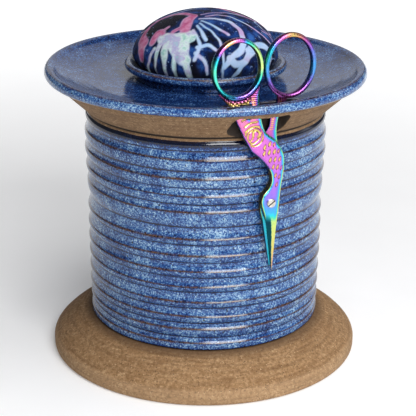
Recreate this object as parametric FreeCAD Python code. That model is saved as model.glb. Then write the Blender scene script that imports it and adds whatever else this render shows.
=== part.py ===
import FreeCAD, Part
import math
import os

# Lidded stoneware yarn jar with a pincushion in the lid and embroidery scissors
# hung through the lid. Millimetres, +Z up. The origin is on the jar's axis, in
# the plane that the foot stands on.
#
# Azimuth is measured round +Z from the front of the jar (-Y) towards +X.

# ---------------------------------------------------------------- jar
FOOT_RADIUS = 76.6
FOOT_EDGE_TOP = 6.6
FOOT_RECESS_RADIUS = 61.0
FOOT_RECESS_DEPTH = 3.0
FLOOR_TOP = 10.0
WALL_BOTTOM = 18.8
RIM_TOP = 126.0
INNER_RADIUS = 52.0

# Outside of the wall as (height, radius): a little slimmer at the foot, with a
# soft swell below the rim.
WALL_STATIONS = [
    (18.8, 56.4),
    (40.0, 57.0),
    (60.0, 57.4),
    (82.0, 57.3),
    (98.0, 58.1),
    (108.0, 58.6),
    (118.0, 58.2),
    (126.0, 57.7),
]
# The throwing grooves lie in pairs, with a broad roll of clay between pairs.
GROOVE_PAIRS = [
    (22.8, 25.9),
    (30.1, 33.2),
    (36.7, 40.8),
    (44.2, 49.1),
    (52.2, 56.4),
    (59.7, 64.0),
    (67.5, 72.6),
    (75.9, 81.4),
    (89.0, 92.8),
    (97.0, 100.6),
    (105.7, 109.0),
    (114.6, 118.5),
]
GROOVE_DEPTH = 0.55
ROLL_HEIGHT = 0.15
CLAY_BAND_BOTTOM = 122.4

# ---------------------------------------------------------------- lid
SEAT_GAP = 0.3
SEAT_Z = RIM_TOP + SEAT_GAP
SEAT_RADIUS = 57.6
LID_RADIUS = 77.5
LIP_BOTTOM = 139.4
LIP_TOP = 145.4
DISH_FLOOR = 139.0
LID_HOLLOW_TOP = 133.0
RING_INNER_RADIUS = 47.0
RING_OUTER_RADIUS = 51.3
RING_BOTTOM = 119.5

# ---------------------------------------------------------------- pincushion
CUP_LIP_RADIUS = 39.0
CUP_TOP = 146.7
CUP_INNER_RADIUS = 31.0
CUSHION_RADIUS = 35.6
CUSHION_FOOT_RADIUS = 28.4
CUSHION_WAIST = 149.0
CUSHION_TOP = 171.0
CLOTH_THICKNESS = 0.9
GLUE_THICKNESS = 0.6
GLUE_RADII = (12.0, 24.0)
CARD_THICKNESS = 1.2
CARD_RADIUS = 27.0
GATHER_RADIUS = 8.0
THREAD_RADIUS = 0.45
CLOTH_BOTTOM = DISH_FLOOR + GLUE_THICKNESS
CARD_BOTTOM = CLOTH_BOTTOM + CLOTH_THICKNESS

# ---------------------------------------------------------------- scissors
# The scissors hang in a vertical plane beside the wall. Their outline is drawn
# about the pivot: x along the plane to the right, y up, and z out of the plane.
SCISSORS_AZIMUTH = 24.0
SCISSORS_MID_PLANE = 61.5
PIVOT_ALONG = 4.7
PIVOT_HEIGHT = 93.8
HALF_THICKNESS = 2.1
SLIDING_GAP = 0.05
RING_BAR_DEPTH = 3.0
PIVOT_RADIUS = 1.2
PIVOT_CLEARANCE = 0.05
SCREW_HEAD_RADIUS = 2.15
SCREW_HEAD_HEIGHT = 0.8
SCREW_SLOT = 0.5

TIP = (1.75, -34.1)
LEFT_RING = {"centre": (-17.0, 63.8), "outer": (12.45, 14.0), "inner": (10.3, 11.8)}
RIGHT_RING = {"centre": (8.95, 63.0), "outer": (12.9, 15.0), "inner": (10.6, 12.7)}

# Hole through the lid that the scissors hang in, in the scissors' own plane.
HOLE_LEFT = -21.2
HOLE_RIGHT = 6.4
HOLE_INNER = 58.1
HOLE_OUTER = 70.3
HOLE_CORNER = 4.0
# The slot opens out towards the dish, most at its right-hand end.
HOLE_FLARE_BOTTOM = 135.0
HOLE_FLARE_TOP = 149.0
HOLE_FLARE_LEFT = 4.4
HOLE_FLARE_RIGHT = 8.0
HOLE_FLARE_SIDES = 2.0


def point(x, y, z=0.0):
    return FreeCAD.Vector(x, y, z)


def wall_radius(height):
    """Outside radius of the wall between the stations, in straight runs."""
    for (z0, r0), (z1, r1) in zip(WALL_STATIONS, WALL_STATIONS[1:]):
        if height <= z1:
            return r0 + (r1 - r0) * (height - z0) / (z1 - z0)
    return WALL_STATIONS[-1][1]


def outline(*items):
    """Closed wire through (r, z) points; three points in a list make an arc."""
    edges = []
    last = None
    first = None
    for item in items:
        stops = item if isinstance(item, list) else [item]
        start = stops[0]
        if first is None:
            first = start
        if last is not None and last != start:
            edges.append(Part.LineSegment(point(last[0], 0, last[1]), point(start[0], 0, start[1])))
        if len(stops) == 3:
            a, b, c = [point(r, 0, z) for r, z in stops]
            edges.append(Part.Arc(a, b, c))
        last = stops[-1]
    if last != first:
        edges.append(Part.LineSegment(point(last[0], 0, last[1]), point(first[0], 0, first[1])))
    return Part.Wire([edge.toShape() for edge in edges])


def turned(*items):
    """Solid of revolution about the jar's axis."""
    return Part.Face(outline(*items)).revolve(point(0, 0, 0), point(0, 0, 1), 360)


def foot_flange():
    return turned(
        (0, FOOT_RECESS_DEPTH),
        (FOOT_RECESS_RADIUS, FOOT_RECESS_DEPTH),
        (FOOT_RECESS_RADIUS + 2.5, 0),
        [(FOOT_RADIUS - 1.8, 0), (FOOT_RADIUS - 0.5, 0.6), (FOOT_RADIUS, 2.0)],
        [(FOOT_RADIUS, 4.6), (FOOT_RADIUS - 0.5, 6.0), (FOOT_RADIUS - 1.8, FOOT_EDGE_TOP + 0.9)],
        [
            (FOOT_RADIUS - 1.8, FOOT_EDGE_TOP + 0.9),
            (66.4, 14.2),
            (WALL_STATIONS[0][1] + 0.4, WALL_BOTTOM),
        ],
        (INNER_RADIUS, WALL_BOTTOM),
        [(INNER_RADIUS, WALL_BOTTOM - 2.0), (50.0, 12.2), (45.0, FLOOR_TOP)],
        (0, FLOOR_TOP),
    )


def jar_wall():
    """Wall of rolls between grooves, with a plain clay band under the rim."""
    grooves = [height for pair in GROOVE_PAIRS for height in pair]
    stops = [WALL_BOTTOM] + grooves + [CLAY_BAND_BOTTOM]
    rolls = []
    for low, high in zip(stops, stops[1:]):
        middle = (low + high) / 2
        rolls.append([
            (wall_radius(low) - GROOVE_DEPTH, low),
            (wall_radius(middle) + ROLL_HEIGHT, middle),
            (wall_radius(high) - GROOVE_DEPTH, high),
        ])
    rim = wall_radius(RIM_TOP)
    return turned(
        (INNER_RADIUS, WALL_BOTTOM),
        *rolls,
        (rim, CLAY_BAND_BOTTOM + 1.0),
        [(rim, RIM_TOP - 1.0), (rim - 0.3, RIM_TOP - 0.3), (rim - 1.0, RIM_TOP)],
        [
            (INNER_RADIUS + 1.5, RIM_TOP),
            (INNER_RADIUS + 0.4, RIM_TOP - 0.4),
            (INNER_RADIUS, RIM_TOP - 1.5),
        ],
    )


def scissors_placement():
    """Places the scissors' drawing plane beside the wall."""
    angle = math.radians(SCISSORS_AZIMUTH)
    along = point(math.cos(angle), math.sin(angle))
    outward = point(math.sin(angle), -math.cos(angle))
    base = along * PIVOT_ALONG + outward * SCISSORS_MID_PLANE + point(0, 0, PIVOT_HEIGHT)
    return FreeCAD.Placement(base, FreeCAD.Rotation(along, point(0, 0, 1), outward, "ZXY"))


def rounded_rectangle(left, right, low, high, corner, height):
    """Wire in a horizontal plane of the scissors' frame, at a height over the foot."""
    y = height - PIVOT_HEIGHT
    turn = corner * (1 - math.sqrt(0.5))
    corners = [
        ((right - corner, low), (right - turn, low + turn), (right, low + corner)),
        ((right, high - corner), (right - turn, high - turn), (right - corner, high)),
        ((left + corner, high), (left + turn, high - turn), (left, high - corner)),
        ((left, low + corner), (left + turn, low + turn), (left + corner, low)),
    ]
    edges = []
    for index, stops in enumerate(corners):
        a, b, c = [point(x, y, z) for x, z in stops]
        edges.append(Part.Arc(a, b, c).toShape())
        following = corners[(index + 1) % len(corners)][0]
        edges.append(Part.LineSegment(c, point(following[0], y, following[1])).toShape())
    return Part.Wire(edges)


def hole_tool():
    """Upright slot with rounded ends that flares out at the dish's surface."""
    low = HOLE_INNER - SCISSORS_MID_PLANE
    high = HOLE_OUTER - SCISSORS_MID_PLANE
    bottom = rounded_rectangle(HOLE_LEFT, HOLE_RIGHT, low, high, HOLE_CORNER, RING_BOTTOM)
    throat = rounded_rectangle(HOLE_LEFT, HOLE_RIGHT, low, high, HOLE_CORNER, HOLE_FLARE_BOTTOM)
    mouth = rounded_rectangle(
        HOLE_LEFT - HOLE_FLARE_LEFT,
        HOLE_RIGHT + HOLE_FLARE_RIGHT,
        low - HOLE_FLARE_SIDES,
        high + HOLE_FLARE_SIDES,
        HOLE_CORNER + HOLE_FLARE_SIDES,
        HOLE_FLARE_TOP,
    )
    tool = Part.makeLoft([bottom, throat, mouth], True, True)
    tool.Placement = scissors_placement()
    return tool


def lid_dish():
    """Shallow dish over a cone of clay, hollow under the middle."""
    dish = turned(
        (RING_INNER_RADIUS, SEAT_Z),
        (SEAT_RADIUS - 0.6, SEAT_Z),
        (SEAT_RADIUS, SEAT_Z + 0.4),
        (73.4, LIP_BOTTOM - 0.4),
        (74.4, LIP_BOTTOM),
        [(74.8, LIP_BOTTOM + 0.1), (LID_RADIUS - 0.5, 141.0), (LID_RADIUS, 143.2)],
        [(LID_RADIUS, 143.2), (LID_RADIUS - 1.3, 144.9), (75.0, LIP_TOP)],
        [(75.0, LIP_TOP), (73.4, 144.7), (71.6, 143.7)],
        [(71.6, 143.7), (61.8, 140.7), (51.0, 139.4)],
        [(51.0, 139.4), (45.5, 139.1), (40.0, DISH_FLOOR)],
        (0, DISH_FLOOR),
        (0, LID_HOLLOW_TOP),
        [(RING_INNER_RADIUS - 3.5, LID_HOLLOW_TOP), (46.0, 132.0), (RING_INNER_RADIUS, 129.5)],
    )
    return dish.cut(hole_tool())


def lid_locating_ring():
    return turned(
        (RING_INNER_RADIUS, SEAT_Z),
        (RING_INNER_RADIUS, RING_BOTTOM + 1.2),
        [
            (RING_INNER_RADIUS, RING_BOTTOM + 1.2),
            ((RING_INNER_RADIUS + RING_OUTER_RADIUS) / 2, RING_BOTTOM),
            (RING_OUTER_RADIUS, RING_BOTTOM + 1.2),
        ],
        (RING_OUTER_RADIUS, SEAT_Z),
    )


def cushion_cup():
    """Low cup with a spread foot and a lip that turns out."""
    return turned(
        (CUP_INNER_RADIUS, DISH_FLOOR),
        [(37.4, DISH_FLOOR), (35.2, 139.9), (34.2, 141.6)],
        [(34.2, 141.6), (34.9, 142.7), (36.6, 143.1)],
        [(37.6, 143.1), (CUP_LIP_RADIUS, 144.7), (38.2, 146.2)],
        [(38.2, 146.2), (37.4, CUP_TOP), (36.2, 146.5)],
        [(36.2, 146.5), (33.6, 143.6), (CUP_INNER_RADIUS, 140.6)],
    )


def cushion_solid(inset, bottom):
    """Domed cushion drawn in by an inset all round, standing on a flat bottom."""
    radius = CUSHION_RADIUS - inset
    foot = CUSHION_FOOT_RADIUS - inset
    rise = CUSHION_TOP - inset - CUSHION_WAIST
    dome = Part.BSplineCurve()
    stops = []
    for degrees in (0, 22, 44, 66, 90):
        angle = math.radians(degrees)
        stops.append(point(radius * math.cos(angle), 0, CUSHION_WAIST + rise * math.sin(angle)))
    dome.interpolate(Points=stops, InitialTangent=point(0, 0, 1), FinalTangent=point(-1, 0, 0))
    flank = Part.Arc(point(foot, 0, bottom), point(32.4 - inset, 0, 144.2), point(radius, 0, CUSHION_WAIST))
    edges = [
        Part.LineSegment(point(0, 0, bottom), point(foot, 0, bottom)).toShape(),
        flank.toShape(),
        dome.toShape(),
        Part.LineSegment(stops[-1], point(0, 0, bottom)).toShape(),
    ]
    face = Part.Face(Part.Wire(edges))
    return face.revolve(point(0, 0, 0), point(0, 0, 1), 360)


def pincushion_cover():
    """Cloth over the filling and the card, drawn in under the card to a small mouth."""
    outside = cushion_solid(0, CLOTH_BOTTOM)
    inside = cushion_solid(CLOTH_THICKNESS, CARD_BOTTOM)
    mouth = Part.makeCylinder(GATHER_RADIUS, CLOTH_THICKNESS, point(0, 0, CLOTH_BOTTOM))
    return outside.cut(inside).cut(mouth)


def pincushion_filling():
    """Stuffing that fills the cover above the card."""
    below = Part.makeCylinder(CUSHION_RADIUS, CARD_THICKNESS, point(0, 0, CARD_BOTTOM))
    return cushion_solid(CLOTH_THICKNESS, CARD_BOTTOM).cut(below)


def pincushion_base_card():
    return Part.makeCylinder(CARD_RADIUS, CARD_THICKNESS, point(0, 0, CARD_BOTTOM))


def gathering_thread():
    """Ring of thread that draws the cover's edge together under the card."""
    height = CLOTH_BOTTOM + CLOTH_THICKNESS / 2
    ring_radius = GATHER_RADIUS - THREAD_RADIUS - 0.05
    return Part.makeTorus(ring_radius, THREAD_RADIUS, point(0, 0, height))


def glue_bead():
    """Flat ring of glue between the cup's floor and the cushion."""
    base = point(0, 0, DISH_FLOOR)
    inner, outer = [Part.makeCylinder(radius, GLUE_THICKNESS, base) for radius in GLUE_RADII]
    return outer.cut(inner)


def smooth(stops):
    """Smooth edge through points of the scissors' drawing."""
    curve = Part.BSplineCurve()
    curve.interpolate([point(x, y) for x, y in stops])
    return curve.toShape()


def straight(stops):
    """Edges from point to point of the scissors' drawing."""
    return [Part.LineSegment(point(*a), point(*b)).toShape() for a, b in zip(stops, stops[1:])]


# The stork's chest and the back of its head, from the legs down to the beak.
CHEST = [(4.1, 26.5), (6.0, 22.4), (6.4, 18.4), (6.0, 13.4), (5.1, 7.6), (4.4, 1.0)]
# The stork's belly and throat, from the beak up to the tail.
THROAT = [
    (-4.4, 0.8), (-3.6, 3.8), (-1.5, 6.2), (0.2, 8.9),
    (0.5, 12.0), (-0.6, 15.6), (-4.6, 20.8), (-9.9, 25.6),
]


def plate(edges, low, high):
    """Flat plate of the scissors between two depths."""
    face = Part.Face(Part.Wire(edges))
    solid = face.extrude(point(0, 0, high - low))
    solid.translate(point(0, 0, low))
    return solid


def oval(ring, size, depth):
    """Upright oval disc for a finger ring."""
    x, y = ring["centre"]
    across, upright = ring[size]
    ellipse = Part.Ellipse(point(x, y + upright), point(x + across, y), point(x, y))
    disc = Part.Face(Part.Wire([ellipse.toShape()])).extrude(point(0, 0, depth))
    disc.translate(point(0, 0, -depth / 2))
    return disc


def with_ring(body, ring):
    """Adds a finger ring and clears its inside and the pivot's bore."""
    solid = body.fuse(oval(ring, "outer", RING_BAR_DEPTH))
    solid = solid.cut(oval(ring, "inner", 3 * RING_BAR_DEPTH))
    bore = Part.makeCylinder(PIVOT_RADIUS + PIVOT_CLEARANCE, 10, point(0, 0, -5))
    solid = solid.cut(bore).removeSplitter()
    solid.Placement = scissors_placement()
    return solid


def scissors_front_half():
    """Tail, near leg, body and the right-hand blade, in front of the mid plane."""
    leg_to_chest = [
        (-6.9, 52.5), (-6.6, 45.5), (-5.4, 39.4), (-3.9, 35.0), (-1.6, 32.4), (1.5, 30.0), CHEST[0],
    ]
    right = leg_to_chest + CHEST[1:] + [(4.0, -4.0), (3.4, -8.4)]
    left = [(1.1, -8.4), (-1.4, -5.8), (-3.6, -2.4)] + THROAT
    edges = [smooth(right)]
    edges += straight([right[-1], TIP, left[0]])
    edges.append(smooth(left))
    tail = [(-13.9, 32.5), (-17.3, 39.4), (-20.8, 47.5), (-26.6, 53.6), (-20.5, 53.2)]
    edges += straight([left[-1]] + tail + [right[0]])
    body = plate(edges, SLIDING_GAP, SLIDING_GAP + HALF_THICKNESS)
    window = plate(straight([(-16.6, 47.9), (-10.6, 47.7), (-11.3, 41.6), (-16.6, 47.9)]), 0, 5)
    return with_ring(body.cut(window), LEFT_RING)


def scissors_rear_half():
    """Far leg, body and the left-hand blade, behind the mid plane."""
    right = [(9.6, 51.0), (7.0, 46.2), (4.2, 41.0), (3.2, 36.0), (3.2, 31.0)] + CHEST + [
        (3.6, -3.6), (1.9, -8.4),
    ]
    left = [(-3.1, -8.4), (-4.3, -4.0)] + THROAT
    tip = (TIP[0] - 0.8, TIP[1] + 0.5)
    edges = [smooth(right)]
    edges += straight([right[-1], tip, left[0]])
    edges.append(smooth(left))
    back_and_leg = [(-12.6, 30.4), (-2.6, 33.0), (-0.6, 36.0), (0.0, 40.6), (3.0, 46.4), (3.4, 51.6)]
    edges += straight([left[-1]] + back_and_leg + [right[0]])
    body = plate(edges, -SLIDING_GAP - HALF_THICKNESS, -SLIDING_GAP)
    return with_ring(body, RIGHT_RING)


def pivot_screw():
    """Slotted screw whose shank passes both halves."""
    back = -SLIDING_GAP - HALF_THICKNESS
    front = SLIDING_GAP + HALF_THICKNESS + SLIDING_GAP
    shank = Part.makeCylinder(PIVOT_RADIUS, front - back, point(0, 0, back))
    head = Part.makeCylinder(SCREW_HEAD_RADIUS, SCREW_HEAD_HEIGHT, point(0, 0, front))
    head = head.makeFillet(SCREW_HEAD_HEIGHT * 0.6, [head.Edges[0]])
    slot = Part.makeBox(6, SCREW_SLOT, 1, point(-3, -SCREW_SLOT / 2, front + SCREW_HEAD_HEIGHT * 0.4))
    slot.rotate(point(0, 0, 0), point(0, 0, 1), 35)
    screw = shank.fuse(head).cut(slot).removeSplitter()
    screw.Placement = scissors_placement()
    return screw


NODES = [
    foot_flange,
    jar_wall,
    lid_dish,
    lid_locating_ring,
    cushion_cup,
    pincushion_cover,
    pincushion_filling,
    pincushion_base_card,
    gathering_thread,
    glue_bead,
    pivot_screw,
    scissors_front_half,
    scissors_rear_half,
]

os.makedirs("parts", exist_ok=True)
for make in NODES:
    shape = make()
    print(make.__name__, shape.isValid(), len(shape.Solids), round(shape.Volume, 1), "mm3")
    shape.exportStep(os.path.join("parts", make.__name__ + ".step"))
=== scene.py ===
import math

import bmesh
import bpy
import numpy as np
from mathutils import Matrix, Vector, noise
from mathutils.geometry import delaunay_2d_cdt
from mathutils.kdtree import KDTree


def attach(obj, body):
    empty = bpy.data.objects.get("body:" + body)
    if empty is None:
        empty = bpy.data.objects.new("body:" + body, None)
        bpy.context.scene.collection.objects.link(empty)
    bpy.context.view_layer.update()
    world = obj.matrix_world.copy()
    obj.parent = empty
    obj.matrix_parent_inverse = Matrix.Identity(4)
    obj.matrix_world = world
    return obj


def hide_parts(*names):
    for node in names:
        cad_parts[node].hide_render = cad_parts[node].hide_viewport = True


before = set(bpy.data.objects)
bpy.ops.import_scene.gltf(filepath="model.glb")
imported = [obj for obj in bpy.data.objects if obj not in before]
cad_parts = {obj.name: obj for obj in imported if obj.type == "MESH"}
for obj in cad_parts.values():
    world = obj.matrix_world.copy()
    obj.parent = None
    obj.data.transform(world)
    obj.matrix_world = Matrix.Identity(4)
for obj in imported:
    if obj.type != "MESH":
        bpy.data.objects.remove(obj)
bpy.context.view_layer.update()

# Lengths in this script are millimetres in the model's own frame, and become
# metres where a mesh is written. Azimuth runs round +Z from the front (-Y)
# towards +X.
MM = 0.001


# ------------------------------------------------------------ shader helper
def tone(red, green, blue):
    """Linear colour from display values of 0 to 255."""
    linear = []
    for value in (red, green, blue):
        value /= 255
        linear.append(value / 12.92 if value <= 0.04045 else ((value + 0.055) / 1.055) ** 2.4)
    return (*linear, 1.0)


class Shader:
    """One Principled material, with short calls for the nodes that feed it."""

    def __init__(self, name):
        self.material = bpy.data.materials.new(name)
        self.material.use_nodes = True
        self.tree = self.material.node_tree
        self.surface = self.tree.nodes["Principled BSDF"]
        self.place = self.tree.nodes.new("ShaderNodeTexCoord").outputs["Object"]

    def feed(self, socket, value):
        if isinstance(value, bpy.types.NodeSocket):
            self.tree.links.new(value, socket)
        else:
            socket.default_value = value

    def node(self, kind, inputs=None, **settings):
        made = self.tree.nodes.new("ShaderNode" + kind)
        for key, value in settings.items():
            setattr(made, key, value)
        for key, value in (inputs or {}).items():
            self.feed(made.inputs[key], value)
        return made

    def math(self, operation, a, b=0.0):
        return self.node("Math", {0: a, 1: b}, operation=operation).outputs[0]

    def plus(self, a, b):
        return self.math("ADD", a, b)

    def times(self, a, b):
        return self.math("MULTIPLY", a, b)

    def stretch(self, value, low, high, to_low=0.0, to_high=1.0):
        """Maps low..high smoothly to to_low..to_high and clamps outside."""
        inputs = {"Value": value, 1: low, 2: high, 3: to_low, 4: to_high}
        made = self.node("MapRange", inputs, interpolation_type="SMOOTHSTEP")
        return made.outputs[0]

    def mix(self, factor, a, b, blend="MIX"):
        made = self.node("Mix", {0: factor, 6: a, 7: b}, data_type="RGBA", blend_type=blend)
        return made.outputs[2]

    def attribute(self, name):
        return self.node("Attribute", attribute_name=name).outputs["Fac"]

    def squeezed(self, x, y, z):
        """Object coordinates scaled along each axis."""
        made = self.node("Mapping", {"Vector": self.place, "Scale": (x, y, z)})
        return made.outputs[0]

    def noise(self, size, detail=2.0, roughness=0.5, place=None):
        """Noise whose blotches are about size millimetres across."""
        inputs = {
            "Vector": place or self.place,
            "Scale": 1 / (size * MM),
            "Detail": detail,
            "Roughness": roughness,
        }
        return self.node("TexNoise", inputs).outputs["Fac"]

    def ramp(self, factor, stops, last=1.0):
        made = self.node("ValToRGB", {"Fac": factor})
        elements = made.color_ramp.elements
        while len(elements) < len(stops):
            elements.new(0.5)
        for element, (position, colour) in zip(elements, stops):
            element.position = position / last
            element.color = colour
        return made.outputs["Color"]

    def bump(self, height, depth):
        """Bump whose full range of height is depth millimetres."""
        inputs = {"Height": height, "Distance": depth * MM, "Strength": 1.0}
        return self.node("Bump", inputs).outputs["Normal"]

    def finish(self, colour, roughness, normal=None, **uniform):
        self.feed(self.surface.inputs["Base Color"], colour)
        self.feed(self.surface.inputs["Roughness"], roughness)
        if normal is not None:
            self.feed(self.surface.inputs["Normal"], normal)
        for key, value in uniform.items():
            self.surface.inputs[key.replace("_", " ")].default_value = value
        return self.material


# ---------------------------------------------------------------- materials
def bare_clay(s, dark=1.0):
    """Colour and grain height of unglazed stoneware, for a shader. A dark below 1 gives a darker copy of
    the same clay, as painted shade.
    """
    cloud = s.noise(9, 4, 0.6)
    sand = s.noise(1.6, 4, 0.7)
    colour = s.ramp(sand, [
        (0.28, tone(100 * dark, 73 * dark, 46 * dark)),
        (0.44, tone(140 * dark, 108 * dark, 74 * dark)),
        (0.56, tone(158 * dark, 125 * dark, 89 * dark)),
        (0.72, tone(186 * dark, 155 * dark, 118 * dark)),
    ])
    colour = s.mix(s.stretch(cloud, 0.35, 0.7, 0.0, 0.5), colour, tone(134 * dark, 100 * dark, 66 * dark))
    wheel = s.noise(1.1, 3, 0.6, place=s.squeezed(0.05, 0.05, 1.0))
    colour = s.mix(s.stretch(wheel, 0.46, 0.66, 0.0, 0.45), colour, tone(104 * dark, 74 * dark, 46 * dark))
    grog = s.noise(0.7, 1)
    colour = s.mix(s.stretch(grog, 0.64, 0.70), colour, tone(92, 68, 46))
    pale = s.noise(0.8, 1, place=s.squeezed(1.0, 1.1, 1.3))
    colour = s.mix(s.stretch(pale, 0.68, 0.74, 0.0, 0.8), colour, tone(196, 168, 132))
    grain = s.plus(sand, s.times(grog, 0.6))
    return colour, grain


def stoneware_clay(name, dark=1.0):
    s = Shader(name)
    colour, grain = bare_clay(s, dark)
    colour = s.mix(s.attribute("shade"), colour, tone(84, 62, 42))
    # Paler where the foot's outer edge carries a painted highlight.
    colour = s.mix(s.attribute("wear_and_highlight"), colour, tone(206, 178, 144))
    roughness = s.stretch(grain, 0.5, 1.1, 0.95, 0.78)
    return s.finish(colour, roughness, s.bump(grain, 0.22), Specular_IOR_Level=0.3)


def blue_glaze(name):
    """Floating blue glaze that breaks brown on edges, over bare clay."""
    s = Shader(name)
    fleck = s.noise(0.98, 3, 0.6)
    grain = s.noise(0.5, 2, 0.5)
    cloud = s.noise(6.5, 3, 0.5, place=s.squeezed(1.0, 1.0, 0.7))
    broad = s.noise(24, 2, 0.5)
    level = s.plus(s.times(fleck, 0.52), s.times(grain, 0.46))
    level = s.plus(level, s.times(cloud, 0.22))
    level = s.plus(level, s.times(broad, 0.12))
    # The dark attribute holds glaze pooled darker and painted shade.
    level = s.math("SUBTRACT", level, s.times(s.attribute("dark"), 0.16))
    level = s.plus(level, s.times(s.attribute("pale"), 0.07))
    blue = s.ramp(level, [
        (0.47, tone(7, 12, 30)),
        (0.57, tone(15, 35, 80)),
        (0.64, tone(30, 62, 120)),
        (0.69, tone(52, 90, 146)),
        (0.75, tone(96, 134, 172)),
        (0.84, tone(164, 190, 206)),
    ])
    speck = s.noise(1.15, 1, place=s.squeezed(1.1, 1.2, 0.9))
    blue = s.mix(s.stretch(speck, 0.685, 0.73), blue, tone(12, 14, 24))
    break_up = s.noise(3.2, 3, 0.6)
    edge = s.times(s.attribute("brown"), s.stretch(break_up, 0.32, 0.5, 0.65, 1.0))
    rust = s.ramp(s.noise(1.0, 2), [(0.38, tone(30, 20, 14)), (0.62, tone(94, 66, 42))])
    blue = s.mix(edge, blue, rust)
    # Dark where the glaze pools, and painted shade in the grooves, under the lid, in the dish, in the hole
    # and low on the cup.
    blue = s.mix(s.stretch(s.attribute("dark"), 0.4, 0.85, 0.0, 0.9), blue, tone(10, 15, 32))
    # Bare clay of the glaze, a darker copy of the foot's clay: painted shade on the cone under the lid and
    # the band under its lip.
    clay, sand = bare_clay(s, 0.88)
    bare = s.stretch(s.attribute("clay"), 0.42, 0.58)
    clay = s.mix(s.attribute("shade"), clay, tone(34, 23, 15))
    colour = s.mix(bare, blue, clay)
    gloss = s.plus(0.06, s.times(grain, 0.12))
    roughness = s.node("Mix", {0: bare, 2: gloss, 3: 0.86}, data_type="FLOAT").outputs[0]
    orange_peel = s.plus(fleck, s.times(cloud, 2.0))
    glassy = s.bump(orange_peel, 0.03)
    gritty = s.bump(sand, 0.18)
    normal = s.node("Mix", {0: bare, 4: glassy, 5: gritty}, data_type="VECTOR").outputs[1]
    return s.finish(colour, roughness, normal, Specular_IOR_Level=0.5)


def batik(name):
    """Cotton dyed navy over a wax drawing, with rose and mint washes."""
    s = Shader(name)
    flat = s.node("Attribute", attribute_name="flat").outputs["Vector"]
    mottle = s.noise(5.5, 4, 0.6)
    wash = s.noise(13, 3, 0.5)
    navy = s.ramp(mottle, [
        (0.34, tone(4, 8, 24)),
        (0.46, tone(9, 24, 62)),
        (0.57, tone(18, 48, 106)),
        (0.70, tone(42, 86, 152)),
    ])
    # Deeper navy: dye patches, and painted shade low on the cushion.
    navy = s.mix(s.attribute("deep_dye_and_shade"), navy, tone(9, 11, 26))
    drop = s.noise(1.7, 1)
    navy = s.mix(s.stretch(drop, 0.69, 0.73, 0.0, 0.6), navy, tone(120, 146, 190))
    wax = s.ramp(wash, [
        (0.38, tone(172, 148, 190)),
        (0.50, tone(172, 190, 218)),
        (0.62, tone(150, 180, 214)),
    ])
    wax = s.mix(s.attribute("mint"), wax, s.ramp(mottle, [
        (0.34, tone(128, 178, 168)),
        (0.48, tone(192, 212, 208)),
        (0.60, tone(166, 160, 196)),
        (0.72, tone(150, 186, 196)),
    ]))
    wax = s.mix(s.attribute("rose"), wax, s.ramp(mottle, [
        (0.34, tone(140, 54, 92)),
        (0.50, tone(176, 88, 130)),
        (0.66, tone(196, 136, 166)),
    ]))
    crackle = s.node("TexVoronoi", {"Vector": s.place, "Scale": 260.0}, feature="DISTANCE_TO_EDGE")
    vein = s.stretch(crackle.outputs["Distance"], 0.01, 0.05, 0.10, 0.0)
    wax = s.mix(vein, wax, tone(84, 104, 156))
    colour = s.mix(s.attribute("wax"), navy, wax)
    threads = []
    for turn in ((1, 0, 0), (0, 1, 0)):
        along = s.node("VectorMath", {0: flat, 1: turn}, operation="DOT_PRODUCT").outputs["Value"]
        threads.append(s.math("SINE", s.times(along, 2 * math.pi / 0.42)))
    weave = s.times(threads[0], threads[1])
    fibre = s.noise(0.35, 2)
    height = s.plus(s.times(weave, 0.5), fibre)
    # Painted shade: darker in the low points of the weave.
    colour = s.mix(s.stretch(weave, -1.0, 1.0, 0.10, 0.0), colour, tone(10, 12, 24))
    return s.finish(
        colour, s.stretch(fibre, 0.3, 0.7, 0.72, 0.9), s.bump(height, 0.05),
        Specular_IOR_Level=0.08, Sheen_Weight=0.04, Sheen_Roughness=0.45,
    )


def rainbow_steel(name):
    """Steel with a colour film: film 0 is gold, 1 is green, in the film's order."""
    s = Shader(name)
    drift = s.times(s.math("SUBTRACT", s.noise(4.5, 3, 0.5), 0.5), 0.12)
    film = s.math("DIVIDE", s.plus(s.attribute("film"), drift), 1.3)
    colour = s.ramp(film, [
        (0.00, tone(240, 214, 124)),
        (0.14, tone(234, 156, 136)),
        (0.28, tone(212, 110, 184)),
        (0.44, tone(180, 112, 216)),
        (0.56, tone(132, 122, 230)),
        (0.68, tone(78, 168, 236)),
        (0.80, tone(56, 214, 220)),
        (0.90, tone(104, 220, 168)),
        (1.00, tone(206, 226, 128)),
        (1.12, tone(228, 206, 120)),
        (1.26, tone(226, 136, 160)),
    ], 1.3)
    # Darker where painted shade is set: in the engraved cuts, on the ring bars' sides, the blades' ground
    # bevels, the side walls and the back.
    colour = s.mix(s.attribute("painted_shade"), colour, tone(62, 20, 48), "MULTIPLY")
    scratch = s.noise(0.5, 2, place=s.squeezed(1.0, 1.0, 0.15))
    roughness = s.stretch(scratch, 0.35, 0.7, 0.24, 0.40)
    return s.finish(colour, roughness, s.bump(scratch, 0.003), Metallic=1.0)


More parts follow.
